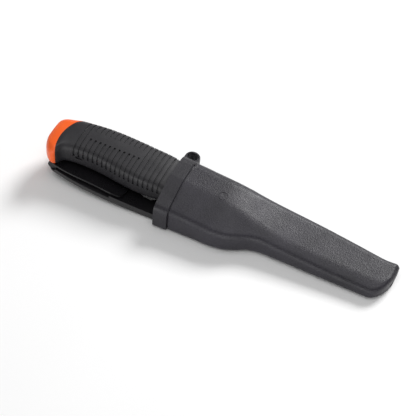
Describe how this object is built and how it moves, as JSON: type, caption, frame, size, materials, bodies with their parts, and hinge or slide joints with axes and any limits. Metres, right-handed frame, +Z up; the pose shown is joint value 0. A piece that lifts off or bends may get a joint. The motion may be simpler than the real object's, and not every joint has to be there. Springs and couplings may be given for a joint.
{
  "type": "rigging knife in sheath",
  "caption": "Fixed-blade rigging knife with a ribbed black grip and orange butt cap, pushed home in a moulded charcoal belt sheath with a side loop.",
  "frame": {"origin": "under the middle of the mouth collar, on the flat back face that the sheath rests on", "axes": "+Z up from the resting face, +X along the sheath towards its tip, +Y towards the spine side, where the side loop is"},
  "size_m": [0.2218, 0.0471, 0.029],
  "materials": {
    "sheath_plastic": "fine moulded grain",
    "collar_plastic": "satin",
    "tongue_plastic": "satin",
    "leaf_plastic": "satin",
    "core_plastic": "satin",
    "grip_rubber": "soft matt",
    "blade_steel": "satin ground"
  },
  "bodies": {
    "sheath": {"sheath_body": "sheath_plastic", "mouth_collar": "collar_plastic", "belt_tongue": "tongue_plastic"},
    "knife": {"handle_core": "core_plastic", "grip": "grip_rubber", "blade": "blade_steel"},
    "leaf": {"belt_leaf": "leaf_plastic"}
  },
  "joints": [
    {"name": "knife_draw", "type": "slide", "parent": "sheath", "child": "knife", "axis": [-0.9969, 0, 0.0785], "range_m": [0, 0.14]},
    {"name": "leaf_flex", "type": "hinge", "parent": "sheath", "child": "leaf", "pos_m": [-0.07705, 0, 0.00998], "axis": [0, -1, 0], "range_deg": [-0.9, 0.6], "stiffness_Nm_per_rad": 2}
  ]
}
